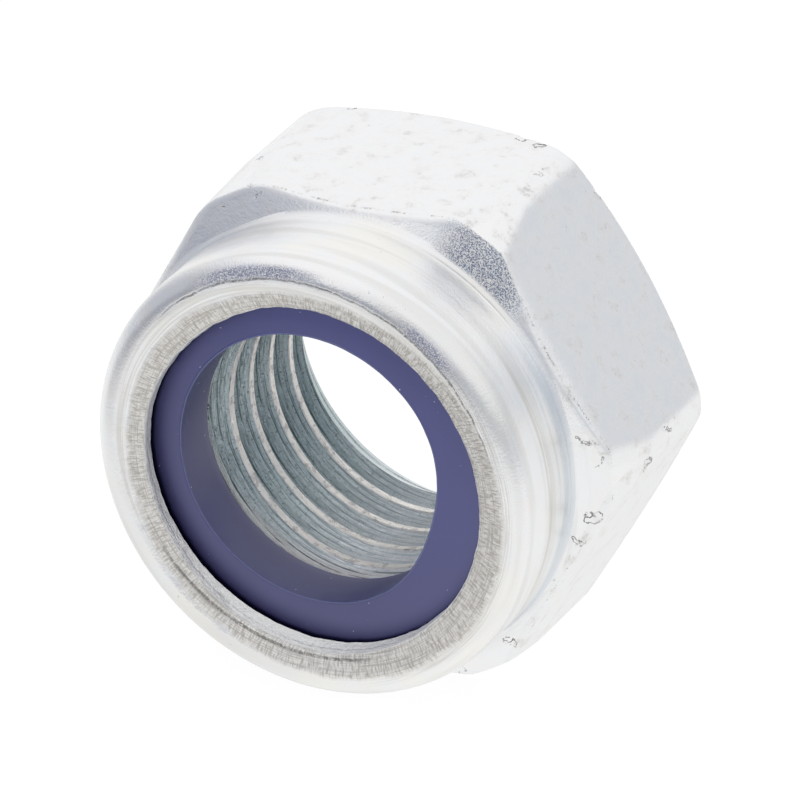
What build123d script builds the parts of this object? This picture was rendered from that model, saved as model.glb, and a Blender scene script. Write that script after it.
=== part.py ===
from build123d import *
from math import atan, cos, degrees, pi, radians, tan
import os

# Nylon insert lock nut, M20 x 2.5: a hexagon body with a rolled-in collar, and the ring it holds.
# Lengths are in millimetres. The origin is the centre of the bearing face, on the thread axis.
# The thread axis lies along Y: the bearing face looks towards +Y, and the collar towards -Y.
# The nut lies on one of its six flats, so +Z is the normal of the flat on top.
# Heights are counted from the bearing face towards the collar.

# Hexagon
hexagon_sides = 6
across_flats = 30.0
hexagon_height = 13.2
corner_cut = 0.37  # by which the forging leaves the corners short of sharp
corner_draw = 0.6  # by which the corners fall short once more at the collar end
corner_draw_start = 8.0
edge_roll_depth = 0.4  # by which the flats lean in at their collar end
edge_roll_height = 0.9
bearing_face_setback = 0.7  # of the bearing face's rim, behind the flats
bearing_chamfer_angle = 30.0  # from the bearing face
top_chamfer_angle = 20.0  # from the bearing face
rim_chamfer = 0.1

# Collar
nut_height = 19.7
collar_setback = 0.8  # of the collar's wall, behind the flats
collar_root_chamfer = 0.3
shoulder_radius = 1.5

# Lip: the collar's end, rolled in over the ring until it lies in a shallow dish
crimp_groove_depth = 0.12
crimp_groove_width = 0.1
lip_dish_depth = 0.6
lip_edge_thickness = 0.75
lip_edge_rounding = 0.22
lip_overhang = 1.45

# Thread, bored to its minor diameter, with a countersink at each end
thread_diameter = 20.0
thread_pitch = 2.5
bearing_countersink_margin = 0.5  # beyond the thread's outer radius
bearing_countersink_angle = 60.0  # from the bearing face
ring_countersink_margin = 0.3  # beyond the thread's outer radius
ring_countersink_angle = 45.0  # from the ring's seat

# Nylon ring, and the recess that it sits in
collar_wall = 1.8
ring_side_clearance = 0.05
ring_thickness = 3.45
ring_grip = 0.2  # by which its bore reaches in past the thread's minor radius
ring_mouth_chamfer = 0.25

# Radii that follow from the sizes above
flat_radius = across_flats / 2
corner_radius = flat_radius / cos(pi / hexagon_sides) - corner_cut
corner_top_radius = corner_radius - corner_draw
bearing_face_radius = flat_radius - bearing_face_setback
collar_radius = flat_radius - collar_setback
collar_root_radius = collar_radius + collar_root_chamfer
crimp_radius = collar_radius - shoulder_radius
recess_radius = collar_radius - collar_wall
lip_opening_radius = recess_radius - lip_overhang
minor_radius = (thread_diameter - thread_pitch) / 2
bearing_countersink_radius = thread_diameter / 2 + bearing_countersink_margin
ring_countersink_radius = thread_diameter / 2 + ring_countersink_margin
ring_outer_radius = recess_radius - ring_side_clearance
ring_bore_radius = minor_radius - ring_grip

# Heights and angles that follow
edge_roll_start_height = hexagon_height - edge_roll_height
edge_roll_angle = degrees(atan(edge_roll_depth / edge_roll_height))
bearing_chamfer_height = (corner_radius - bearing_face_radius) * tan(radians(bearing_chamfer_angle))
top_chamfer_depth = (corner_top_radius - collar_root_radius) * tan(radians(top_chamfer_angle))
top_chamfer_height = hexagon_height - top_chamfer_depth
collar_wall_start_height = hexagon_height + collar_root_chamfer
shoulder_start_height = nut_height - shoulder_radius
lip_edge_height = nut_height - lip_dish_depth
ring_top_height = lip_edge_height - lip_edge_thickness
ring_seat_height = ring_top_height - ring_thickness
bearing_countersink_depth = (bearing_countersink_radius - minor_radius) * tan(
    radians(bearing_countersink_angle)
)
ring_countersink_depth = (ring_countersink_radius - minor_radius) * tan(radians(ring_countersink_angle))

thread_axis = Axis((0, 0, 0), (0, -1, 0))
# In a half section, x is the distance from the thread axis and y the height
half_section = Plane(origin=(0, 0, 0), x_dir=(1, 0, 0), z_dir=(0, 0, -1))

os.makedirs("parts", exist_ok=True)


# Nut body: one piece of steel, forged, turned, tapped and crimped
with BuildPart() as nut_body:
    # Hexagon, with one flat on top and one below, and the flats leaning in at the collar end
    with BuildSketch(Plane.XZ):
        RegularPolygon(radius=flat_radius, side_count=hexagon_sides, major_radius=False)
    extrude(amount=edge_roll_start_height)
    extrude(nut_body.faces().sort_by(Axis.Y)[0], amount=edge_roll_height, taper=edge_roll_angle)

    # Both ends turned to cones, and the corners drawn in towards the collar
    with BuildSketch(half_section):
        with BuildLine():
            Polyline(
                (0, 0),
                (bearing_face_radius, 0),
                (corner_radius, bearing_chamfer_height),
                (corner_radius, corner_draw_start),
                (corner_top_radius, top_chamfer_height),
                (collar_root_radius, hexagon_height),
                (0, hexagon_height),
                close=True,
            )
        make_face()
    revolve(axis=thread_axis, mode=Mode.INTERSECT)

    # Rims where the two end cones meet the flats and the corners
    cones = nut_body.faces().filter_by(GeomType.CONE).sort_by(Axis.Y)
    collar_end_edges = cones[0].edges().filter_by(GeomType.LINE, reverse=True).sort_by(Axis.Y)
    bearing_end_edges = cones[-1].edges().filter_by(GeomType.LINE, reverse=True).sort_by(Axis.Y)
    chamfer(collar_end_edges[1:] + bearing_end_edges[:-1], length=rim_chamfer)

    # Collar, with its rounded shoulder, the crimping tool's groove and the dished lip
    with BuildSketch(half_section):
        with BuildLine():
            Polyline(
                (0, hexagon_height),
                (collar_root_radius, hexagon_height),
                (collar_radius, collar_wall_start_height),
                (collar_radius, shoulder_start_height),
            )
            CenterArc(
                center=(crimp_radius, shoulder_start_height),
                radius=shoulder_radius,
                start_angle=0,
                arc_size=90,
            )
            Polyline(
                (crimp_radius, nut_height),
                (crimp_radius - crimp_groove_width, nut_height - crimp_groove_depth),
                (lip_opening_radius, lip_edge_height),
                (0, lip_edge_height),
                (0, hexagon_height),
            )
        make_face()
    revolve(axis=thread_axis)

    # Thread bore with its countersinks, the ring's recess, and the opening through the lip
    with BuildSketch(half_section):
        with BuildLine():
            Polyline(
                (0, 0),
                (bearing_countersink_radius, 0),
                (minor_radius, bearing_countersink_depth),
                (minor_radius, ring_seat_height - ring_countersink_depth),
                (ring_countersink_radius, ring_seat_height),
                (recess_radius, ring_seat_height),
                (recess_radius, ring_top_height),
                (lip_opening_radius, ring_top_height),
                (lip_opening_radius, nut_height),
                (0, nut_height),
                close=True,
            )
        make_face()
    revolve(axis=thread_axis, mode=Mode.SUBTRACT)

    # The lip's edge, rolled smooth where it turns over the ring
    lip_opening = nut_body.faces().filter_by(GeomType.CYLINDER).sort_by(Axis.Y)[0]
    fillet(lip_opening.edges().sort_by(Axis.Y)[0], radius=lip_edge_rounding)
nut_body.part.label = "nut_body"
export_step(nut_body.part, "parts/nut_body.step")


# Nylon ring: pressed into the recess before the lip is rolled over it
with BuildPart() as nylon_insert:
    with BuildSketch(half_section):
        with Locations((ring_bore_radius, ring_seat_height)):
            Rectangle(ring_outer_radius - ring_bore_radius, ring_thickness, align=(Align.MIN, Align.MIN))
    revolve(axis=thread_axis)

    # Both mouths of the bore
    bore_edges = nylon_insert.edges().filter_by(GeomType.CIRCLE).group_by(SortBy.RADIUS)[0]
    chamfer(bore_edges, length=ring_mouth_chamfer)
nylon_insert.part.label = "nylon_insert"
export_step(nylon_insert.part, "parts/nylon_insert.step")
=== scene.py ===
"""Nylon insert lock nut: the plated steel body with its cut thread and its crimped collar, and the ring.

Everything is in metres in the frame's own axes. The thread axis is Y, the collar looks towards -Y, and
the nut lies on one flat. Heights are counted along the thread axis, from the bearing face to the collar.
"""

from math import atan2, ceil, cos, exp, hypot, pi, radians, sin, sqrt, tan
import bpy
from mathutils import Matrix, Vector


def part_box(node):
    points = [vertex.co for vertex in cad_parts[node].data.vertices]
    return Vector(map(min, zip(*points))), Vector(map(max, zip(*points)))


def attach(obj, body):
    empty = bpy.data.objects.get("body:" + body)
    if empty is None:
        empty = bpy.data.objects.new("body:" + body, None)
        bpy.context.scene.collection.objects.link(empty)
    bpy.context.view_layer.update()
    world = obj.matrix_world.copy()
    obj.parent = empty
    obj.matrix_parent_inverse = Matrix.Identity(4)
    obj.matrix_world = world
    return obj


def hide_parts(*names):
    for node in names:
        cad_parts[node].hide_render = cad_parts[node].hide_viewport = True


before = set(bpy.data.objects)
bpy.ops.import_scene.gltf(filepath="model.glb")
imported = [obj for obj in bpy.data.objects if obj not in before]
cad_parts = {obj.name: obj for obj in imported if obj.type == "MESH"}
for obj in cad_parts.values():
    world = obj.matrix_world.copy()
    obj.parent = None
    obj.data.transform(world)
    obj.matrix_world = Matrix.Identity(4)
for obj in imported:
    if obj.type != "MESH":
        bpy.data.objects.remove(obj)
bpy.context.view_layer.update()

from types import SimpleNamespace

import bmesh
import bpy
from mathutils import Matrix, Vector, noise

MM = 0.001
SLACK = 0.005 * MM  # within which two lengths count as the same

# ---------------------------------------------------------------------------------------------------
# Sizes
# ---------------------------------------------------------------------------------------------------
nut_low, nut_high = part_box("nut_body")
ring_low, ring_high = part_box("nylon_insert")

FLAT_RADIUS = nut_high.z
CORNER_RADIUS = nut_high.x
NUT_HEIGHT = -nut_low.y
RING_OUTER_RADIUS = ring_high.x
RING_TOP = -ring_low.y
RING_SEAT = -ring_high.y

HEXAGON_SIDES = 6
HALF_SIDE = pi / HEXAGON_SIDES  # the angle that half a flat takes up
HEXAGON_HEIGHT = 13.2 * MM
CORNER_DRAW = 0.6 * MM  # what the corners lack at the collar end
CORNER_DRAW_START = 8.0 * MM
EDGE_ROLL_DEPTH = 0.4 * MM  # by which the flats are rolled in at their collar end
EDGE_ROLL_RADIUS = 2.0 * MM
BEARING_FACE_RADIUS = FLAT_RADIUS - 0.7 * MM
BEARING_CHAMFER_ANGLE = radians(30)
TOP_CHAMFER_ANGLE = radians(20)
BEARING_EDGE_ROUNDING = 0.15 * MM
RIM_ROUNDING = 0.17 * MM
CORNER_WEAR = 0.32 * MM  # of the one corner that is worn down
WORN_CORNER = radians(120)
WORN_SPREAD = radians(16)
WORN_ROUNDING = 3  # how much rounder that corner's rim is

COLLAR_RADIUS = FLAT_RADIUS - 0.8 * MM
COLLAR_ROOT = 0.3 * MM
COLLAR_ROOT_RADIUS = COLLAR_RADIUS + COLLAR_ROOT
COLLAR_ROOT_ROUNDING = 0.12 * MM
BEAD_HEIGHT = 13.75 * MM  # a fine ridge round the foot of the collar
BEAD_REACH = 0.07 * MM
WALL_WAVE = 0.03 * MM
WALL_WAVE_LENGTH = 2.6 * MM
SHOULDER_ROUNDING = 1.5 * MM
CREASE_RADIUS = COLLAR_RADIUS - 1.6 * MM
CREASE_DEPTH = 0.12 * MM
LIP_DISH = 0.6 * MM
LIP_OPENING_RADIUS = 10.95 * MM
LIP_EDGE_ROUNDING = 0.2 * MM
LIP_BULGE = 0.42 * MM  # by which the lip reaches further in on one side
LIP_BULGE_ANGLE = radians(132)
LIP_BULGE_SPREAD = radians(28)
LIP_WAVER = 0.05 * MM  # of the line of its edge
LIP_WAVER_RATE = 9  # a rate says how quickly a noise changes round the thread axis
LIP_WAVER_PLACE = Vector((0, 0, 2))  # where in the noise that line is read
LIP_WRINKLE = 0.035 * MM  # of its face, which has folds and finer ripples
LIP_FOLD_RATE = 21
LIP_RIPPLE_RATE = 62
LIP_FLARE = 0.58 * MM  # by which the lip's torn edge opens outwards below
LIP_FLARE_ANGLE = radians(-105)
LIP_FLARE_SPREAD = radians(42)
LIP_TORN_HEIGHT = 0.6 * MM
SHOULDER_BLEND = 0.4 * MM  # over which the wall's waves fade into the shoulder
COLLAR_OFFSET = Vector((0.1, 0, -0.07)) * MM  # of the collar from the hexagon's axis
RING_CLEARANCE = 0.05 * MM
RECESS_RADIUS = RING_OUTER_RADIUS + RING_CLEARANCE

THREAD_RADIUS = 10.0 * MM
THREAD_PITCH = 2.5 * MM
MINOR_RADIUS = THREAD_RADIUS - THREAD_PITCH / 2
ROOT_WIDTH = THREAD_PITCH / 4
FLANK_ANGLE = radians(30)
THREAD_START = 13.25 * MM  # height of a groove's middle on the side of -X
TAP_TURNS = 8
TAP_TURNS_BELOW = 6.5  # the first groove lies below the bearing face, and half a turn takes it round to -X
TAP_OVERLAP = 0.4 * MM  # of the tap's ridge with the open bore
BEARING_COUNTERSINK_RADIUS = THREAD_RADIUS + 0.5 * MM
BEARING_COUNTERSINK_ANGLE = radians(60)
RING_COUNTERSINK_RADIUS = THREAD_RADIUS + 0.3 * MM
TOOL_STEPS = 5  # that the countersinking tool left on the ring's side
RING_BORE_RADIUS = MINOR_RADIUS - 0.2 * MM
RING_EDGE_ROUNDING = 0.25 * MM
RING_RIM_ROUNDING = 0.15 * MM
RING_BURR = 0.05 * MM  # height of the burr round its hole
RING_BURR_FOOT = 0.14 * MM
RING_BURR_CREST = 0.06 * MM
RING_BURR_WAVER = 0.15  # the share of the burr's height by which it goes up and down
RING_BURR_RATE = 30
RING_DISH = 0.26 * MM  # by which its face falls away under the lip
RING_DISH_START = LIP_OPENING_RADIUS - 1.9 * MM
RING_DISH_END = LIP_OPENING_RADIUS + 0.6 * MM
RING_BORE_EASE = 0.05 * MM  # by which its hole is wider than it was cut
RING_BORE_BLEND = 0.3 * MM
RING_WAVER = 0.02 * MM
RING_WAVER_RATE = 8
RING_BORE_OFFSET = Vector((-0.16, 0, 0.14)) * MM
RING_BULGE = 0.6 * MM  # by which its bore is pressed in on one side
RING_BULGE_ANGLE = radians(-18)
RING_BULGE_SPREAD = radians(34)
RING_BULGE_AT_SEAT = 0.45  # the share of it that reaches down to the seat

BODY_STEPS = 540  # divides by twice the hexagon's six sides
RING_STEPS = 540
THREAD_STEPS = 180
SHARP = radians(28)

# The longest stretch between two hoops of points on each surface
LIP_SPACING = 0.24 * MM
CONE_SPACING = 0.13 * MM
WALL_SPACING = 0.5 * MM
UPPER_FLAT_SPACING = 0.35 * MM
FLAT_SPACING = 1.6 * MM
RING_SPACING = 0.6 * MM
UNDIVIDED = 20 * MM

# Chips in the plating: place on the surface and radius in millimetres, and darkness from 0 to 1
CHIPS = [
    (-5.9, -1.3, 15.0, 0.34, 1.0),
    (5.6, -1.2, 15.0, 0.42, 0.8),
    (6.9, -1.5, 15.0, 0.36, 0.9),
    (10.2, -1.0, 12.3, 0.26, 0.6),
    (8.3, -4.5, 14.7, 0.20, 0.4),
    (8.5, -6.5, 14.6, 0.16, 0.3),
    (-8.1, -8.7, 14.7, 0.26, 0.5),
    (-6.9, -12.3, 14.7, 0.20, 0.6),
    (-6.2, -12.8, 14.2, 0.16, 0.6),
    (-8.4, -12.8, 13.2, 0.14, 0.7),
    (3.5, -13.1, 14.3, 0.10, 0.8),
    (16.9, -6.2, 0.4, 0.26, 0.7),
    (15.0, -12.9, 2.5, 0.28, 0.7),
    (15.9, -12.6, 1.2, 0.18, 0.6),
    (16.8, -8.7, -0.5, 0.40, 0.7),
    (15.4, -12.8, -2.5, 0.42, 0.9),
    (14.3, -13.0, -4.4, 0.24, 0.7),
    (9.6, -12.9, -11.8, 0.36, 1.0),
    (6.2, -12.5, -14.7, 0.22, 0.7),
]
CHIP_DEPTH = 0.09 * MM
CHIP_REACH = 1.3  # of the dent round a chip, in the chip's own radius
CHIP_ROUGHNESS = 3.1  # how quickly the noise in its depth changes, for each millimetre


# ---------------------------------------------------------------------------------------------------
# Shaping
# ---------------------------------------------------------------------------------------------------
def section(bm, points):
    """A closed outline of (distance from the axis, height) points, on the half plane of +X."""
    corners = [bm.verts.new((radius, -height, 0)) for radius, height in points]
    return corners, [bm.edges.new(pair) for pair in zip(corners, corners[1:] + corners[:1])]


def finish_section(bm, roundings, longest):
    """Rounds the outline's named corners, and divides its sides so that none is over a length."""
    for (radius, height), rounding, segments in roundings:
        corner = min(bm.verts, key=lambda v: hypot(v.co.x - radius, v.co.y + height))
        bmesh.ops.bevel(
            bm, geom=[corner], offset=rounding, segments=segments, profile=0.5, affect="VERTICES", material=-1
        )
    for side in list(bm.edges):
        cuts = ceil(side.calc_length() / longest(side)) - 1
        if cuts > 0:
            bmesh.ops.subdivide_edges(bm, edges=[side], cuts=cuts)


def spin_section(bm, steps):
    """Spins the outline once round the thread axis into a solid."""
    bmesh.ops.spin(
        bm, geom=bm.verts[:] + bm.edges[:], axis=(0, -1, 0), angle=2 * pi, steps=steps, use_merge=True
    )
    bmesh.ops.recalc_face_normals(bm, faces=bm.faces)


def distance(v):
    return hypot(v.co.x, v.co.z)


def turn_of(v):
    """The angle at which a point lies round the thread axis, from +X."""
    return atan2(v.co.z, v.co.x)


def heading(angle):
    return Vector((cos(angle), sin(angle), 0))


def uneven(place, octaves):
    """Noise with finer noise on it, from about -1 to 1."""
    return noise.fractal(place, 0.8, 2, octaves)


def hump(angle, middle, spread):
    """1 at the middle angle, and falling smoothly to 0 on both sides of it."""
    off = (angle - middle + pi) % (2 * pi) - pi
    return exp(-(off / spread) ** 2)


def push_out(v, length):
    """Moves a point straight away from the thread axis."""
    scale = 1 + length / distance(v)
    v.co.x *= scale
    v.co.z *= scale


def ease(value, low, high):
    """0 below the low mark, 1 above the high one, and smooth between them."""
    share = min(1, max(0, (value - low) / (high - low)))
    return share * share * (3 - 2 * share)


def soft_least(first, second, soft):
    """The smaller of two lengths, rounded off where they are nearly the same."""
    near = max(0, soft - abs(first - second))
    return min(first, second) - near * near / (4 * soft)


def finished(bm, name, *materials):
    """Writes the shape to an object that stands at the origin, smooth except at its sharp edges."""
    mesh = bpy.data.meshes.new(name)
    bm.to_mesh(mesh)
    bm.free()
    for material in materials:
        mesh.materials.append(material)
    piece = bpy.data.objects.new(name, mesh)
    smooth(piece)
    bpy.context.scene.collection.objects.link(piece)
    return piece


def smooth(piece):
    piece.data.shade_smooth()
    piece.data.set_sharp_from_angle(angle=SHARP)


def settle(piece):
    """Takes the piece's modifiers into its mesh."""
    evaluated = piece.evaluated_get(bpy.context.evaluated_depsgraph_get())
    settled = bpy.data.meshes.new_from_object(evaluated)
    piece.modifiers.clear()
    rough, piece.data = piece.data, settled
    bpy.data.meshes.remove(rough)
    settled.name = piece.name


# ---------------------------------------------------------------------------------------------------
# Nut body
# ---------------------------------------------------------------------------------------------------
def nut_blank():
    """The body as it leaves the forge, the lathe and the crimping tool, before it is tapped."""
    bm = bmesh.new()
    chamfer_height = (CORNER_RADIUS - BEARING_FACE_RADIUS) * tan(BEARING_CHAMFER_ANGLE)
    corner_top = CORNER_RADIUS - CORNER_DRAW
    top_chamfer = HEXAGON_HEIGHT - (corner_top - COLLAR_ROOT_RADIUS) * tan(TOP_CHAMFER_ANGLE)
    lip_edge = NUT_HEIGHT - LIP_DISH
    lip_start = NUT_HEIGHT - CREASE_DEPTH
    section(bm, [
        (BEARING_COUNTERSINK_RADIUS, 0),
        (BEARING_FACE_RADIUS, 0),
        (CORNER_RADIUS, chamfer_height),
        (CORNER_RADIUS, CORNER_DRAW_START),
        (corner_top, top_chamfer),
        (COLLAR_ROOT_RADIUS, HEXAGON_HEIGHT),
        (COLLAR_RADIUS, HEXAGON_HEIGHT + COLLAR_ROOT),
        (COLLAR_RADIUS, BEAD_HEIGHT - BEAD_REACH),
        (COLLAR_RADIUS + BEAD_REACH, BEAD_HEIGHT),
        (COLLAR_RADIUS, BEAD_HEIGHT + 2 * BEAD_REACH),
        (COLLAR_RADIUS, NUT_HEIGHT),
        (CREASE_RADIUS, lip_start),
        (LIP_OPENING_RADIUS, lip_edge),
        (LIP_OPENING_RADIUS, RING_TOP),
        (RECESS_RADIUS, RING_TOP),
        (RECESS_RADIUS, RING_SEAT),
        (RING_COUNTERSINK_RADIUS, RING_SEAT),
        *countersink_steps(),
        (MINOR_RADIUS, (BEARING_COUNTERSINK_RADIUS - MINOR_RADIUS) * tan(BEARING_COUNTERSINK_ANGLE)),
    ])

    def longest(side):
        """The hoops lie close where the cones meet the flats, and on the wall and the lip."""
        radius = sum(map(distance, side.verts)) / 2
        height = -(side.verts[0].co.y + side.verts[1].co.y) / 2
        if height > NUT_HEIGHT - LIP_DISH - SLACK:
            return LIP_SPACING
        if radius < RECESS_RADIUS + SLACK or height < SLACK:
            return UNDIVIDED
        if height > HEXAGON_HEIGHT:
            return WALL_SPACING
        if height > top_chamfer or height < chamfer_height:
            return CONE_SPACING
        return UPPER_FLAT_SPACING if height > CORNER_DRAW_START else FLAT_SPACING

    finish_section(bm, [
        ((BEARING_FACE_RADIUS, 0), BEARING_EDGE_ROUNDING, 2),
        ((CORNER_RADIUS, chamfer_height), RIM_ROUNDING, 4),
        ((corner_top, top_chamfer), RIM_ROUNDING, 4),
        ((COLLAR_RADIUS, HEXAGON_HEIGHT + COLLAR_ROOT), COLLAR_ROOT_ROUNDING, 2),
        ((COLLAR_RADIUS, NUT_HEIGHT), SHOULDER_ROUNDING, 14),
        ((LIP_OPENING_RADIUS, lip_edge), LIP_EDGE_ROUNDING, 5),
    ], longest)
    spin_section(bm, BODY_STEPS)
    cut_flats(bm)
    crimp(bm)
    chip(bm)
    return bm


def countersink_steps():
    """The countersink under the ring: a cone at 45 degrees, turned in small steps."""
    step = (RING_COUNTERSINK_RADIUS - MINOR_RADIUS) / TOOL_STEPS
    for done in range(TOOL_STEPS):
        radius = RING_COUNTERSINK_RADIUS - done * step
        height = RING_SEAT - done * step
        yield radius - 0.5 * step, height
        yield radius - step, height - step


def cut_flats(bm):
    """Brings the turned surface in to the six flats, which roll in at their collar end."""
    roll_height = sqrt(EDGE_ROLL_RADIUS ** 2 - (EDGE_ROLL_RADIUS - EDGE_ROLL_DEPTH) ** 2)
    for v in bm.verts:
        radius, height = distance(v), -v.co.y
        if radius > COLLAR_ROOT_RADIUS - SLACK and height < HEXAGON_HEIGHT + SLACK:
            rolled = max(0, height - HEXAGON_HEIGHT + roll_height)
            lean = EDGE_ROLL_RADIUS - sqrt(EDGE_ROLL_RADIUS ** 2 - rolled ** 2)
            angle = turn_of(v)
            reach = (FLAT_RADIUS - lean) / cos(angle % (2 * HALF_SIDE) - HALF_SIDE)
            worn = hump(angle, WORN_CORNER, WORN_SPREAD)
            turned = radius - CORNER_WEAR * worn
            push_out(v, soft_least(turned, reach, RIM_ROUNDING * (1 + WORN_ROUNDING * worn)) - radius)


def chip(bm):
    """Breaks small chips out of the edges."""
    outside = [v for v in bm.verts if distance(v) > COLLAR_ROOT_RADIUS]
    for x, y, z, size, _ in CHIPS:
        middle = Vector((x, y, z)) * MM
        for v in outside:
            off = (v.co - middle).length / (size * CHIP_REACH * MM)
            if off < 1:
                rough = 0.6 + 0.8 * noise.noise(v.co / MM * CHIP_ROUGHNESS)
                push_out(v, -CHIP_DEPTH * rough * (1 - off * off))


def crimp(bm):
    """Gives the collar and the lip the unevenness that rolling the lip in leaves."""
    for v in bm.verts:
        radius, height = distance(v), -v.co.y
        angle = turn_of(v)
        around = heading(angle)
        on_lip = height > RING_TOP - SLACK and radius < CREASE_RADIUS + SLACK
        if on_lip and (radius < LIP_OPENING_RADIUS + LIP_EDGE_ROUNDING or height > RING_TOP + SLACK):
            rolled = (CREASE_RADIUS - radius) / (CREASE_RADIUS - LIP_OPENING_RADIUS)
            inward = LIP_BULGE * hump(angle, LIP_BULGE_ANGLE, LIP_BULGE_SPREAD)
            inward += LIP_WAVER * uneven(around * LIP_WAVER_RATE + LIP_WAVER_PLACE, 3)
            torn = ease(height, RING_TOP, RING_TOP + LIP_TORN_HEIGHT)
            flare = LIP_FLARE * hump(angle, LIP_FLARE_ANGLE, LIP_FLARE_SPREAD) * torn
            push_out(v, (flare - inward) * rolled)
            if height > RING_TOP + SLACK:
                fold = noise.noise(around * LIP_FOLD_RATE + Vector((0, 0, radius / MM * 0.5)))
                ripple = noise.noise(around * LIP_RIPPLE_RATE + Vector((0, 0, radius / MM)))
                v.co.y -= LIP_WRINKLE * (fold * 0.8 + ripple) * min(1, 1.5 * rolled)
        on_wall = height > HEXAGON_HEIGHT + SLACK and radius > RECESS_RADIUS + SLACK
        if on_wall:
            wave = sin(2 * pi * (height - BEAD_HEIGHT) / WALL_WAVE_LENGTH + around.x)
            outer = ease(radius, CREASE_RADIUS, COLLAR_RADIUS - SHOULDER_BLEND)
            push_out(v, WALL_WAVE * (wave - 1) / 2 * outer)
        if on_lip or on_wall:
            v.co += COLLAR_OFFSET


def thread_tap():
    """The ridge of the tap that cuts the thread: a right-hand helix past both ends of the bore."""
    bm = bmesh.new()
    tooth_root = MINOR_RADIUS - TAP_OVERLAP
    half_root = ROOT_WIDTH / 2
    half_base = half_root + (THREAD_RADIUS - tooth_root) * tan(FLANK_ANGLE)
    start = THREAD_START - THREAD_PITCH * TAP_TURNS_BELOW
    corners, sides = section(bm, [
        (tooth_root, start - half_base),
        (THREAD_RADIUS, start - half_root),
        (THREAD_RADIUS, start + half_root),
        (tooth_root, start + half_base),
    ])
    bmesh.ops.spin(
        bm, geom=corners + sides, axis=(0, -1, 0), dvec=(0, -THREAD_PITCH / THREAD_STEPS, 0),
        angle=2 * pi * TAP_TURNS, steps=THREAD_STEPS * TAP_TURNS,
    )
    bmesh.ops.holes_fill(bm, edges=bm.edges, sides=4)
    bmesh.ops.recalc_face_normals(bm, faces=bm.faces)
    return bm


def nut_body():
    body = finished(nut_blank(), "plated_nut", plated_steel())
    tap = finished(thread_tap(), "thread_tap")
    tapping = body.modifiers.new("tapping", "BOOLEAN")
    tapping.operation = "DIFFERENCE"
    tapping.solver = "EXACT"
    tapping.object = tap
    settle(body)
    smooth(body)
    normals = body.modifiers.new("flat_faces", "WEIGHTED_NORMAL")
    normals.keep_sharp = True
    settle(body)
    bpy.data.objects.remove(tap)
    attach(body, "root")
    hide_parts("nut_body")
    return body


# ---------------------------------------------------------------------------------------------------
# Nylon ring
# ---------------------------------------------------------------------------------------------------
def nylon_ring():
    bm = bmesh.new()
    section(bm, [
        (RING_BORE_RADIUS, RING_SEAT),
        (RING_OUTER_RADIUS, RING_SEAT),
        (RING_OUTER_RADIUS, RING_TOP),
        (RING_BORE_RADIUS + RING_BURR_FOOT, RING_TOP),
        (RING_BORE_RADIUS + RING_BURR_CREST, RING_TOP + RING_BURR),
        (RING_BORE_RADIUS, RING_TOP + RING_BURR / 2),
    ])
    finish_section(bm, [
        ((RING_BORE_RADIUS, RING_SEAT), RING_EDGE_ROUNDING, 5),
        ((RING_OUTER_RADIUS, RING_TOP), RING_RIM_ROUNDING, 3),
    ], lambda side: RING_SPACING)
    spin_section(bm, RING_STEPS)
    press_ring(bm)
    ring = finished(bm, "nylon_ring", nylon())
    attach(ring, "root")
    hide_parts("nylon_insert")
    return ring


def press_ring(bm):
    """Dishes the ring's face under the lip, and presses its hole out of round."""
    for v in bm.verts:
        radius, height = distance(v), -v.co.y
        if height > RING_TOP - SLACK:
            v.co.y += RING_DISH * ease(radius, RING_DISH_START, RING_DISH_END)
        near_bore = 1 - ease(radius, RING_BORE_RADIUS + RING_BORE_BLEND, LIP_OPENING_RADIUS)
        if near_bore > 0:
            angle = turn_of(v)
            around = heading(angle)
            rise = (height - RING_SEAT) / (RING_TOP - RING_SEAT)
            share = RING_BULGE_AT_SEAT + (1 - RING_BULGE_AT_SEAT) * rise
            inward = RING_BULGE * hump(angle, RING_BULGE_ANGLE, RING_BULGE_SPREAD) * share
            if height > RING_TOP - SLACK:
                inward += RING_WAVER * uneven(around * RING_WAVER_RATE, 2)
            push_out(v, (RING_BORE_EASE - inward) * near_bore)
            v.co += RING_BORE_OFFSET * near_bore
            if height > RING_TOP + SLACK:
                v.co.y -= RING_BURR_WAVER * RING_BURR * noise.noise(around * RING_BURR_RATE)


# ---------------------------------------------------------------------------------------------------
# Shader maths
# ---------------------------------------------------------------------------------------------------
class Value:
    """A socket that carries a number. Sums and products of values add the Math nodes for them."""

    def __init__(self, shader, socket):
        self.shader = shader
        self.socket = socket

    def math(self, operation, *operands):
        return self.shader.node("Math", {"operation": operation}, dict(enumerate(operands)))

    def __add__(self, other):
        return self.math("ADD", self, other)

    __radd__ = __add__

    def __sub__(self, other):
        return self.math("SUBTRACT", self, other)

    def __rsub__(self, other):
        return self.math("SUBTRACT", other, self)

    def __mul__(self, other):
        return self.math("MULTIPLY", self, other)

    __rmul__ = __mul__

    def __truediv__(self, other):
        return self.math("DIVIDE", self, other)

    def __pow__(self, other):
        return self.math("POWER", self, other)

    def __abs__(self):
        return self.math("ABSOLUTE", self)

    def most(self, other):
        return self.math("MAXIMUM", self, other)

    def rise(self, low, high):
        """0 below the low mark, 1 above the high one, and smooth between them."""
        settings = {"interpolation_type": "SMOOTHSTEP"}
        return self.shader.node("MapRange", settings, {0: self, 1: low, 2: high, 3: 0, 4: 1})

    def within(self, low, high, soft):
        """1 between two marks, falling softly to 0 outside them."""
        return self.rise(low - soft, low) * (1 - self.rise(high, high + soft))


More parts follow.
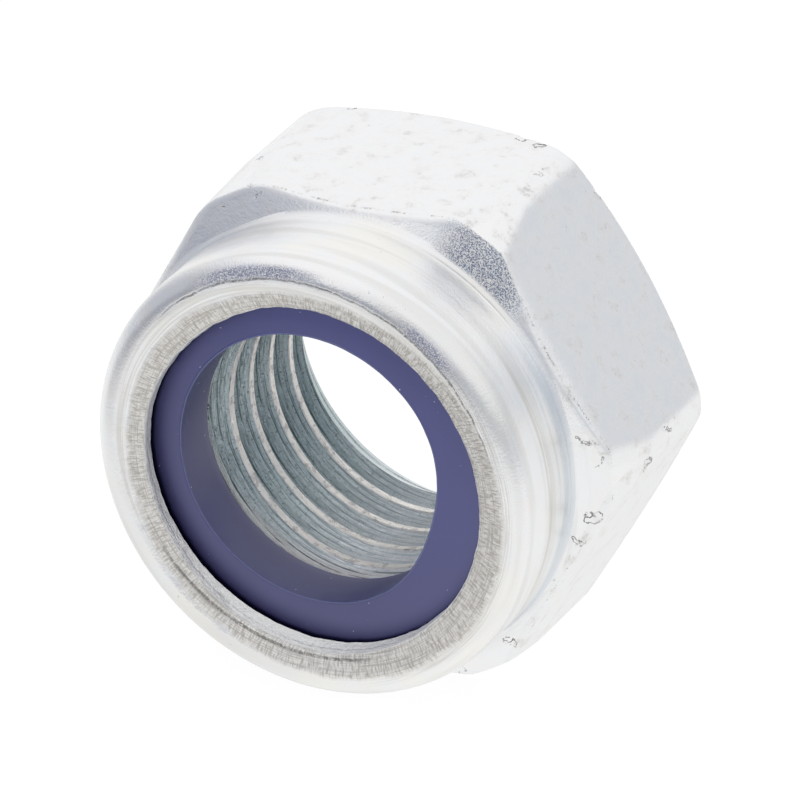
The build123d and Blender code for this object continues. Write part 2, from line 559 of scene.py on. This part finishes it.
class Shader:
    """The nodes of a material or of the world."""

    def __init__(self, owner):
        owner.use_nodes = True
        self.owner = owner
        self.tree = owner.node_tree

    def node(self, kind, settings, sockets, output=0):
        """Adds a node: its settings first, then the values or links of its sockets."""
        made = self.tree.nodes.new("ShaderNode" + kind)
        for name, setting in settings.items():
            setattr(made, name, setting)
        for name, value in sockets.items():
            self.feed(made.inputs[name], value)
        return Value(self, made.outputs[output]) if made.outputs else None

    def feed(self, socket, value):
        if isinstance(value, Value):
            self.tree.links.new(value.socket, socket)
        else:
            socket.default_value = value

    def vector(self, operation, *operands, output=0):
        return self.node("VectorMath", {"operation": operation}, dict(enumerate(operands)), output)

    def parts(self, vector):
        return [self.node("SeparateXYZ", {}, {0: vector}, axis) for axis in "XYZ"]

    def join(self, x, y, z):
        return self.node("CombineXYZ", {}, {0: x, 1: y, 2: z})

    def noise(self, vector, scale, detail=2.0, roughness=0.5):
        sockets = {"Vector": vector, "Scale": scale, "Detail": detail, "Roughness": roughness}
        return self.node("TexNoise", {}, sockets)

    def blend(self, share, first, second):
        """The first colour, going over to the second as the share goes from 0 to 1."""
        return self.node("Mix", {"data_type": "RGBA"}, {0: share, 6: first, 7: second}, 2)

    def bump(self, height):
        """Raises the surface by a height in millimetres."""
        return self.node("Bump", {}, {"Strength": 1.0, "Distance": MM, "Height": height})


def new_finish(name, **sockets):
    """A finish with its surface's own settings, and the place of a point on it in millimetres."""
    shader = Shader(bpy.data.materials.new(name))
    surface = shader.tree.nodes["Principled BSDF"]
    for socket, value in sockets.items():
        surface.inputs[socket.replace("_", " ")].default_value = value
    stand = shader.node("TexCoord", {}, {}, "Object")
    return shader, surface, shader.vector("MULTIPLY", stand, (1 / MM,) * 3)


# ---------------------------------------------------------------------------------------------------
# Plated steel
# ---------------------------------------------------------------------------------------------------
# Marks in millimetres, or in radians round the thread axis from +X. A surface comes in between two
# marks. Where there are three, it lies between the first two, and the third is how soft both its ends are.
BODY_TOP = NUT_HEIGHT / MM
RING_FACE = RING_TOP / MM
SHELF = HEXAGON_HEIGHT / MM
FLAT = FLAT_RADIUS / MM
CREASE = CREASE_RADIUS / MM
OPENING = LIP_OPENING_RADIUS / MM
THREAD_ROOT = THREAD_RADIUS / MM
THREAD_CREST = MINOR_RADIUS / MM
COUNTERSINK_FOOT = (RING_SEAT - RING_COUNTERSINK_RADIUS + MINOR_RADIUS) / MM

COLLAR_FOOT = SHELF, SHELF + 0.15
FLATS_FACE = FLAT - 0.6, FLAT - 0.4
BORE_WALL = THREAD_ROOT + 0.45, THREAD_ROOT + 0.6
CONE_FACE = SHELF - 0.2, SHELF - 0.1
RIM_HEIGHT = SHELF - 0.22
RIM_WIDTH = 0.0, 0.09
RIM_ON_FLATS = FLAT - 0.7, FLAT - 0.5
# The cone's frosted corner, whose dark blue speckles are a painted reflection
FROSTED_REFLECTING_CORNER = 0.83, 1.06, 0.16
TURNED_FACE = 0.02, 0.1

LIP_BOTTOM = BODY_TOP - 1.0, BODY_TOP - 0.9
LIP_OUTSIDE = CREASE, CREASE + 0.15
BAND_MIDDLE = 0.5, 0.4  # of the bright rubbed band, across and downwards
BAND_OUTSIDE = CREASE - 0.5, CREASE - 0.05
BURNISHED_REACH = CREASE - 0.3, CREASE + 0.5, 0.5
BURNISHED_TURN = -0.9, 0.75, 0.5
CREASE_MIDDLE = 0.3  # of the crease between the lip and the shoulder, upwards
CREASE_REACH = CREASE - 0.07, CREASE - 0.03, 0.09
CREASE_TURN = 0.5, 2.1, 0.4
# The frosted shoulder by the crease, whose dark blue speckles are a painted reflection
FROST_REFLECTION_REACH = CREASE + 0.15, CREASE + 0.5, 0.35
FROST_REFLECTION_TOP_TURN = 1.65, 1.95, 0.25
FROST_REFLECTION_SIDE_TURN = 0.82, 0.95, 0.16
FOLD_REACH = OPENING + 0.77, OPENING + 0.85, 0.1
FOLD_TURN = -2.4, -1.4, 0.3
LIP_FACE_OUTSIDE = CREASE - 0.25, CREASE - 0.1
TORN_OUTSIDE = OPENING + 0.55, OPENING + 0.7
TORN_TOP = BODY_TOP - 0.7, BODY_TOP - 0.58
GAP_TOP = RING_FACE - 0.08, RING_FACE + 0.03

UPPER_TURN = 0.9, 1.9, 0.4
FOOT_HEIGHT = SHELF + 0.3, SHELF + 1.0, 0.35
FOOT_TURN = -0.9, 0.5, 0.3
STRIPED_HEIGHT = SHELF + 0.1, SHELF + 1.8, 0.5
SEAM_HEIGHT = SHELF + 2.9, SHELF + 3.1, 0.25
SEAM_TURN = -1.3, 0.5, 0.3

MOUTH_HEIGHT = COUNTERSINK_FOOT - 0.45, COUNTERSINK_FOOT - 0.15
CREST_REACH = THREAD_CREST + 0.03, THREAD_CREST + 0.11
# Painted light: the thread is lighter towards +X and downwards in the bore
CUT_LIT_SIDE = -3, 12
PITCHES_BELOW = 8  # keeps the count of pitches over 0

CHIP_SWAY = 2.1
CHIP_LINE = 0.02, 0.09

BLUE_ZINC = 0.88, 0.895, 0.912, 1
ROSE_ZINC = 0.905, 0.895, 0.898, 1
STRAW_ZINC = 0.915, 0.905, 0.875, 1
SMUDGE = 0.79, 0.79, 0.785, 1
FACED_ZINC = 0.72, 0.72, 0.715, 1
CRACK = 0.45, 0.44, 0.43, 1
RIM_DIRT = 0.25, 0.25, 0.26, 1
# Painted reflection: the dark blue of the frosted cone's speckles
CONE_DARK_REFLECTION = 0.11, 0.155, 0.28, 1
SHADED_WALL = 0.72, 0.715, 0.70, 1
BLUE_FOOT = 0.68, 0.73, 0.79, 1
FOOT_STRIPE = 0.66, 0.70, 0.74, 1
SEAM_ZINC = 0.66, 0.64, 0.60, 1
BURNISHED_ZINC = 0.60, 0.585, 0.56, 1
# Painted reflection: the dark blue of the shoulder's speckles
SHOULDER_DARK_REFLECTION = 0.18, 0.20, 0.33, 1
LIP_ZINC = 0.69, 0.68, 0.655, 1
RUBBED_DARK = 0.50, 0.47, 0.43, 1
RUBBED_BRIGHT = 0.89, 0.875, 0.84, 1
# Painted shade in the crease and the fold
CREASE_SHADE = 0.20, 0.195, 0.19, 1
TORN_ZINC = 0.93, 0.93, 0.92, 1
GAP_SHADE = 0.05, 0.05, 0.07, 1
# Shaded and lit copies of the thread's dark and pale colours, for painted light
SHADED_DARK_CUT = 0.12, 0.175, 0.185, 1
LIT_DARK_CUT = 0.62, 0.70, 0.75, 1
SHADED_PALE_CUT = 0.55, 0.64, 0.66, 1
LIT_PALE_CUT = 0.95, 0.98, 1.0, 1
RING_LINE = 0.09, 0.10, 0.10, 1
BRIGHT_CUT = 1.0, 1.0, 0.99, 1
CREST_DIRT = 0.60, 0.57, 0.56, 1
CREST_BRIGHT = 0.97, 0.93, 0.89, 1
PIT = 0.06, 0.06, 0.06, 1


def plated_steel():
    steel, surface, place = new_finish("plated_steel")
    on = steel_surfaces(steel, place)
    fine = steel_textures(steel, place, on)
    chips = chip_outlines(steel, place) * fine.veins.rise(0.38, 0.5)
    specks = fine.veins.rise(0.71, 0.73) * (0.3 + 0.7 * on.bore)
    # the crease and the fold: grooves in the relief, also darkened with painted shade
    folded = on.crease.most(on.fold) * (0.4 + 0.6 * fine.veins.rise(0.35, 0.55)) * fine.grain.rise(0.3, 0.5)

    colour = hexagon_colour(steel, on, fine)
    colour = collar_colour(steel, on, fine, colour)
    colour = lip_colour(steel, on, fine, folded, colour)
    colour = thread_colour(steel, on, fine, colour)
    colour = steel.blend(specks.most(chips * 0.9), colour, PIT)
    steel.feed(surface.inputs["Base Color"], colour)
    steel.feed(surface.inputs["Metallic"], 1 - on.mouth * 0.45 - on.torn * 0.4)

    gloss = 0.24 + on.flats * 0.08 + on.collar * (1 - on.lip) * 0.09 + on.band * 0.14
    gloss = gloss + on.bore * 0.06 + on.torn * 0.36 + on.mouth * 0.15
    steel.feed(surface.inputs["Roughness"], gloss + (fine.mottle - 0.5) * 0.15)

    # relief, in millimetres
    relief = fine.grain * 0.016 + fine.frosting * (on.frosted_cone * 0.08 + on.frost * 0.05)
    relief = relief + fine.mottle * 0.03 * (1 - on.bore)
    relief = relief + fine.turned * 0.009 * (1 - on.flats) * (1 - on.inner_lip)
    relief = relief + (fine.radial * 0.05 + fine.hoops * 0.03) * on.band
    relief = relief + fine.veins * (on.torn * 0.2 + on.flats * 0.012)
    relief = relief + fine.drawn * on.bore * 0.07
    relief = relief - (chips + specks + folded + fine.cracked * on.flats * 0.5) * 0.03
    steel.feed(surface.inputs["Normal"], steel.bump(relief))
    return steel.owner


def steel_surfaces(steel, place):
    """Where a point lies, and the surfaces with a finish of their own, as shares from 0 to 1."""
    x, y, z = steel.parts(place)
    height = -1 * y
    reach = (x * x + z * z) ** 0.5
    turn = steel.node("Math", {"operation": "ARCTAN2"}, {0: z, 1: x})
    on = SimpleNamespace(height=height, reach=reach, turn=turn, round_x=x / reach, round_z=z / reach)
    flat_reach = abs(z)
    for lean in (HALF_SIDE, -HALF_SIDE):
        flat_reach = flat_reach.most(abs(x * cos(lean) + z * sin(lean)))
    wander = steel.noise(place, 0.9, 2.0) - 0.5

    collar = height.rise(*COLLAR_FOOT)
    bore = 1 - reach.rise(*BORE_WALL)
    lip = collar * height.rise(*LIP_BOTTOM) * (1 - bore)
    on.collar, on.bore, on.lip = collar, bore, lip

    on.flats = flat_reach.rise(*FLATS_FACE) * (1 - collar)
    on.faced = 1 - height.rise(*TURNED_FACE)
    under_cone = height + (reach - COLLAR_ROOT_RADIUS / MM) * tan(TOP_CHAMFER_ANGLE)
    cone = under_cone.rise(*CONE_FACE) * (1 - collar) * (1 - bore)
    # the frosted corner of the cone, which also carries a painted dark reflection
    on.frosted_cone = cone * turn.within(*FROSTED_REFLECTING_CORNER)
    on_rim = 1 - abs(under_cone - RIM_HEIGHT).rise(*RIM_WIDTH)
    on.rim = on_rim * flat_reach.rise(*RIM_ON_FLATS) * (1 - collar)

    on.inner_lip = lip * (1 - reach.rise(*LIP_OUTSIDE))
    band_x, band_below = BAND_MIDDLE
    band_reach = ((x - band_x) ** 2 + (z + band_below) ** 2) ** 0.5
    on.band = lip * (1 - (band_reach - wander * 0.4).rise(*BAND_OUTSIDE))
    on.burnished = lip * reach.within(*BURNISHED_REACH) * turn.within(*BURNISHED_TURN)
    crease_reach = (x ** 2 + (z - CREASE_MIDDLE) ** 2) ** 0.5
    on.crease = lip * (crease_reach - wander * 0.3).within(*CREASE_REACH) * turn.within(*CREASE_TURN)
    # the frosted patches of the shoulder, which also carry a painted dark reflection
    frosted = turn.within(*FROST_REFLECTION_TOP_TURN).most(turn.within(*FROST_REFLECTION_SIDE_TURN))
    on.frost = lip * crease_reach.within(*FROST_REFLECTION_REACH) * frosted
    on.fold = lip * reach.within(*FOLD_REACH) * turn.within(*FOLD_TURN)
    on.lip_face = lip * (1 - crease_reach.rise(*LIP_FACE_OUTSIDE)) * (1 - on.band)
    on.torn = collar * (1 - reach.rise(*TORN_OUTSIDE)) * (1 - height.rise(*TORN_TOP))
    on.gap = on.torn * (1 - height.rise(*GAP_TOP))

    sides = (1 - turn.within(*UPPER_TURN)) * (1 - bore)
    foot = height.within(*FOOT_HEIGHT) * sides
    on.blue_foot = foot * (0.3 + 0.4 * turn.within(*FOOT_TURN))
    on.striped = height.within(*STRIPED_HEIGHT) * sides
    on.seam = height.within(*SEAM_HEIGHT) * turn.within(*SEAM_TURN) * (1 - bore)

    # painted light: a share that grows towards +X and downwards in the bore
    on.lower = (x - z).rise(*CUT_LIT_SIDE)
    on.mouth = bore * height.rise(*MOUTH_HEIGHT)
    on.crest = bore * (1 - (reach - wander * 0.1).rise(*CREST_REACH)) * (1 - on.mouth)
    return on


def steel_textures(steel, place, on):
    """The plating's clouds and grain, and the lines that run round the thread axis or towards it."""
    def lines(round_rate, along, detail=3.0, roughness=0.6):
        return steel.noise(
            steel.join(on.round_x * round_rate, on.round_z * round_rate, along), 1.0, detail, roughness
        )

    fine = SimpleNamespace()
    fine.mottle = steel.noise(place, 0.8, 4.0, 0.6)
    fine.cloud = steel.noise(place, 0.22, 2.0)
    fine.veins = steel.noise(place, 1.7, 4.0, 0.7)
    fine.grain = steel.noise(place, 6.5, 2.0, 0.7)
    fine.frosting = steel.noise(place, 12, 3.0, 0.8)
    fine.turned = lines(1.5, on.reach * 5 + on.height * 5)
    fine.radial = lines(105, on.reach * 2, roughness=0.65)
    fine.hoops = lines(4, on.reach * 16)
    fine.bands = lines(0.8, on.height * 1.1, 2.0, 0.5)
    fine.foot_lines = lines(2, on.height * 5)
    # how far across one pitch of the thread a point lies, from 0 to 1
    pitches = on.height / (THREAD_PITCH / MM) - on.turn / (2 * pi) + PITCHES_BELOW
    across = steel.node("Math", {"operation": "FRACT"}, {0: pitches})
    fine.drawn = lines(1.2, across * 30, 4.0, 0.8)
    fine.cracked = (1 - abs(fine.veins - 0.5).rise(0.002, 0.014)) * fine.mottle.rise(0.54, 0.66)
    return fine


def chip_outlines(steel, place):
    """The dark outlines of flaked plating, as rings that noise bends out of shape."""
    wobble = steel.node("TexNoise", {}, {"Vector": place, "Scale": 1.5, "Detail": 3.0}, "Color")
    sway = steel.vector("MULTIPLY", steel.vector("SUBTRACT", wobble, (0.5,) * 3), (CHIP_SWAY,) * 3)
    flaked = steel.vector("ADD", place, sway)
    outlines = 0
    for x, y, z, size, darkness in CHIPS:
        off = steel.vector("DISTANCE", flaked, (x, y, z), output="Value")
        outlines = ((1 - abs(off - size).rise(*CHIP_LINE)) * darkness).most(outlines)
    return outlines


def hexagon_colour(steel, on, fine):
    colour = steel.blend(fine.mottle.rise(0.35, 0.65), BLUE_ZINC, ROSE_ZINC)
    colour = steel.blend(fine.cloud.rise(0.45, 0.7) * on.collar, colour, STRAW_ZINC)
    smudged = fine.mottle.rise(0.5, 0.75) * 0.5 + (fine.veins + fine.grain).rise(1.0, 1.25) * 0.25
    colour = steel.blend(on.flats * smudged, colour, SMUDGE)
    colour = steel.blend(on.faced * fine.hoops.rise(0.35, 0.65) * 0.4, colour, FACED_ZINC)
    colour = steel.blend(fine.cracked * on.flats * 0.3, colour, CRACK)
    dirty = fine.grain.rise(0.48, 0.62) * fine.veins.rise(0.42, 0.6)
    colour = steel.blend(on.rim * dirty * 0.8, colour, RIM_DIRT)
    # the frosted cone's dark blue speckles are a painted reflection; its frosting relief is real
    return steel.blend(on.frosted_cone * fine.frosting.rise(0.475, 0.55) * 0.9, colour, CONE_DARK_REFLECTION)


def collar_colour(steel, on, fine, colour):
    shaded = on.collar * (1 - on.inner_lip) * fine.bands.rise(0.46, 0.66)
    colour = steel.blend(shaded * 0.5, colour, SHADED_WALL)
    colour = steel.blend(on.blue_foot, colour, BLUE_FOOT)
    colour = steel.blend(on.striped * fine.foot_lines.rise(0.48, 0.6) * 0.4, colour, FOOT_STRIPE)
    return steel.blend(on.seam * fine.foot_lines.rise(0.35, 0.5) * 0.7, colour, SEAM_ZINC)


def lip_colour(steel, on, fine, folded, colour):
    colour = steel.blend(on.burnished * fine.hoops.rise(0.35, 0.65) * 0.7, colour, BURNISHED_ZINC)
    # dark blue speckles on the frosted shoulder are a painted reflection; the frosting relief is real
    colour = steel.blend(on.frost * fine.frosting.rise(0.43, 0.54) * 0.85, colour, SHOULDER_DARK_REFLECTION)
    colour = steel.blend(on.lip_face * fine.turned.rise(0.35, 0.6) * 0.7, colour, LIP_ZINC)
    rubbed = fine.radial.rise(0.34, 0.6) * fine.hoops.rise(0.3, 0.55)
    colour = steel.blend(on.band * 0.92, colour, steel.blend(rubbed, RUBBED_DARK, RUBBED_BRIGHT))
    # painted shade darkens the crease and the fold
    colour = steel.blend(folded * 0.85, colour, CREASE_SHADE)
    colour = steel.blend(on.torn, colour, TORN_ZINC)
    return steel.blend(on.gap, colour, GAP_SHADE)


def thread_colour(steel, on, fine, colour):
    # painted light: the thread's colours go from shaded to lit towards +X and downwards
    dark_cut = steel.blend(on.lower, SHADED_DARK_CUT, LIT_DARK_CUT)
    pale_cut = steel.blend(on.lower, SHADED_PALE_CUT, LIT_PALE_CUT)
    groove = steel.blend(fine.drawn.rise(0.36, 0.54) * fine.grain.rise(0.2, 0.5), dark_cut, pale_cut)
    colour = steel.blend(on.bore, colour, groove)
    ring_lines = steel.blend(fine.drawn.rise(0.41, 0.46), RING_LINE, BRIGHT_CUT)
    colour = steel.blend(on.mouth * 0.9, colour, ring_lines)
    crest = steel.blend(fine.veins.rise(0.36, 0.5), CREST_DIRT, CREST_BRIGHT)
    return steel.blend(on.crest * 0.9, colour, crest)


# ---------------------------------------------------------------------------------------------------
# Nylon
# ---------------------------------------------------------------------------------------------------
# Painted highlight along the crest of the burr round the hole
BURR_HIGHLIGHT_HEIGHT = RING_FACE + 0.025, RING_FACE + 0.04
# Painted shade on the ring: darker towards its edge under the lip on the lower left, where the lip shades it
LIP_SHADE_MIDDLE = 0.9, 0.55
LIP_SHADE_REACH = OPENING - 1.35, OPENING + 1.05
LIP_SHADE_HEIGHT = RING_FACE - 0.6, RING_FACE - 0.4
LIP_SHADE_CURVE = 1.3
# Painted light: the resin is lighter towards +X and the top, where more light falls
RESIN_LIT_SIDE = -8, 10

# A shaded and a lit copy of the resin's colour, for painted light
SHADED_RESIN = 0.014, 0.017, 0.155, 1
LIT_RESIN = 0.024, 0.031, 0.215, 1
CLOUDY_RESIN = 0.022, 0.022, 0.175, 1
LIP_SHADE = 0.013, 0.012, 0.07, 1
BURR_HIGHLIGHT = 0.16, 0.22, 0.45, 1
FLUFF = 0.7, 0.72, 0.8, 1


def nylon():
    resin, surface, place = new_finish("nylon", Roughness=0.42, IOR=1.6, Specular_IOR_Level=1.0)
    x, y, z = resin.parts(place)
    height = -1 * y
    cloud = resin.noise(place, 0.25, 2.0)
    grain = resin.noise(place, 5.0, 2.0)
    fluff = resin.noise(place, 4.2, 2.0, 0.4)
    shade_x, shade_z = LIP_SHADE_MIDDLE
    rim_reach = ((x - shade_x) ** 2 + (z - shade_z) ** 2) ** 0.5
    # painted shade: the lip's shadow on the ring, darker towards its edge on the lower left
    lip_shaded = rim_reach.rise(*LIP_SHADE_REACH) ** LIP_SHADE_CURVE * height.rise(*LIP_SHADE_HEIGHT)
    # painted light: the ring goes from its shaded to its lit colour towards +X and the top
    colour = resin.blend((x + z).rise(*RESIN_LIT_SIDE), SHADED_RESIN, LIT_RESIN)
    colour = resin.blend(cloud.rise(0.35, 0.65) * 0.4, colour, CLOUDY_RESIN)
    colour = resin.blend(lip_shaded, colour, LIP_SHADE)
    # painted highlight along the crest of the burr
    colour = resin.blend(height.rise(*BURR_HIGHLIGHT_HEIGHT) * 0.35, colour, BURR_HIGHLIGHT)
    colour = resin.blend(fluff.rise(0.77, 0.785), colour, FLUFF)
    resin.feed(surface.inputs["Base Color"], colour)
    # the same painted shade also darkens the ring's reflection there, as Metallic over the dark colour
    resin.feed(surface.inputs["Metallic"], lip_shaded * 0.85)
    resin.feed(surface.inputs["Normal"], resin.bump(grain * 0.003))
    return resin.owner


# ---------------------------------------------------------------------------------------------------
# Floor, light and camera
# ---------------------------------------------------------------------------------------------------
# Bearings count from straight in front of the collar, to the right
FRONT = radians(-110), radians(110), radians(30)
DIM_SIDE = radians(-80), radians(0), radians(55)
DIM_FLOOR = radians(-42), radians(-22), radians(42)
WHITE_CORNER = radians(-135), radians(-112)
WINDOW_LEFT = radians(-36), radians(-24)
WINDOW_RIGHT = radians(-20), radians(-10)
WINDOW_SLANT = 0.8

# On the floor, metres from the middle of the frame
FLOOR_SIZE = 3
# Painted shadow of the nut on the floor, as the metal sees it, fades out between these reaches
NEAR_SHADOW_REACH = 0.025, 0.05
DIM_REACH = 0.03, 0.14
HAZE_REACH = 0.02, 0.3

# Upwards, from 0 at the horizon to 1 overhead
WINDOW_SILL = 0, 0.12
GREY_WALL_TOP = 0.08, 0.45
DIM_WALL_TOP = 0.35, 0.78

WHITE = 1.0, 1.0, 1.0, 1
CLEAN_FLOOR = 1.0, 1.0, 0.99, 1
# Painted shadow of the nut on the floor close to it, seen only in the metal
NEAR_FLOOR_SHADOW = 0.9, 0.9, 0.89, 1
HAZY_FLOOR = 0.68, 0.70, 0.73, 1
DARK_FLOOR = 0.32, 0.335, 0.395, 1
MATT_FLOOR = 0.8, 0.8, 0.8, 1
SHADOWED_PAPER = 0.16, 0.16, 0.16, 1
PAPER_GLOW = 0.9
GREY_WALL = 0.61, 0.635, 0.67, 1
DIM_WALL = 0.53, 0.545, 0.60, 1


def bearing(shader, x, y):
    return shader.node("Math", {"operation": "ARCTAN2"}, {0: x, 1: -1 * y})


def floor():
    """White paper that keeps the nut's shadow. In the metal it looks duller, dim on one side, and darker near
    the nut with a painted shadow.
    """
    bm = bmesh.new()
    bmesh.ops.create_grid(bm, x_segments=1, y_segments=1, size=FLOOR_SIZE)
    bmesh.ops.translate(bm, verts=bm.verts, vec=(0, 0, nut_low.z))
    white = Shader(bpy.data.materials.new("white_floor"))
    white.tree.nodes.clear()
    x, y, z = white.parts(white.node("TexCoord", {}, {}, "Object"))
    away = (x * x + y * y) ** 0.5
    around = bearing(white, x, y)
    mirrored = white.blend(away.rise(*HAZE_REACH) * around.within(*FRONT), CLEAN_FLOOR, HAZY_FLOOR)
    # painted shadow of the nut on the floor close to it, seen only in the metal
    near = (1 - away.rise(*NEAR_SHADOW_REACH)) * around.within(*DIM_FLOOR)
    mirrored = white.blend(near, mirrored, NEAR_FLOOR_SHADOW)
    mirrored = white.blend(away.rise(*DIM_REACH) * around.within(*DIM_FLOOR), mirrored, DARK_FLOOR)
    in_picture = white.node("LightPath", {}, {}, "Is Camera Ray")
    in_metal = white.node("LightPath", {}, {}, "Is Glossy Ray")
    through = white.node("LightPath", {}, {}, "Is Transmission Ray")
    matt = white.node("BsdfDiffuse", {}, {"Color": MATT_FLOOR})
    shadowed = white.node("BsdfDiffuse", {}, {"Color": SHADOWED_PAPER})
    glow = white.node("Emission", {}, {"Strength": PAPER_GLOW})
    paper = white.node("AddShader", {}, {0: shadowed, 1: glow})
    reflected = white.node("Emission", {}, {"Color": mirrored})
    shown = white.node("MixShader", {}, {0: in_metal.most(through), 1: matt, 2: reflected})
    shown = white.node("MixShader", {}, {0: in_picture, 1: shown, 2: paper})
    white.node("OutputMaterial", {}, {"Surface": shown})
    finished(bm, "floor", white.owner)


def room():
    """A white room, greyer towards the horizon, with a dim side that has one tall slanted window."""
    world = bpy.data.worlds.new("room")
    bpy.context.scene.world = world
    air = Shader(world)
    background = air.tree.nodes["Background"]
    x, y, z = air.parts(air.node("TexCoord", {}, {}, "Generated"))
    around = bearing(air, x, y)
    seen = air.blend(around.rise(*WHITE_CORNER) * (1 - z.rise(*GREY_WALL_TOP)), WHITE, GREY_WALL)
    seen = air.blend(around.within(*DIM_SIDE) * (1 - z.rise(*DIM_WALL_TOP)), seen, DIM_WALL)
    right_edge = (around - z * WINDOW_SLANT).rise(*WINDOW_RIGHT)
    window = around.rise(*WINDOW_LEFT) * (1 - right_edge) * z.rise(*WINDOW_SILL)
    seen = air.blend(window, seen, WHITE)
    in_picture = air.node("LightPath", {}, {}, "Is Camera Ray")
    air.feed(background.inputs["Color"], air.blend(in_picture, seen, WHITE))
    bpy.context.scene.view_settings.view_transform = "Standard"


VIEW_AZIMUTH = radians(27.97)
VIEW_ELEVATION = radians(26.78)
VIEW_ROLL = radians(-2.15)
VIEW_DISTANCE = 642.2 * MM
VIEW_AIM = Vector((0.89, -9.07, 0.53)) * MM
VIEW_LENS = 491.2  # in millimetres, as the sensor's width is
SENSOR_WIDTH = 36
NEAREST_SEEN = 10 * MM


def camera():
    eye = bpy.data.cameras.new("camera")
    eye.sensor_width = SENSOR_WIDTH
    eye.lens = VIEW_LENS
    eye.clip_start = NEAREST_SEEN
    holder = bpy.data.objects.new("camera", eye)
    back = Vector((
        sin(VIEW_AZIMUTH) * cos(VIEW_ELEVATION),
        -cos(VIEW_AZIMUTH) * cos(VIEW_ELEVATION),
        sin(VIEW_ELEVATION),
    ))
    holder.location = VIEW_AIM + back * VIEW_DISTANCE
    holder.rotation_mode = "QUATERNION"
    upright = (-back).to_track_quat("-Z", "Y")
    holder.rotation_quaternion = upright @ Matrix.Rotation(VIEW_ROLL, 3, "Z").to_quaternion()
    bpy.context.scene.collection.objects.link(holder)
    bpy.context.scene.camera = holder


camera()
room()
floor()
nut_body()
nylon_ring()
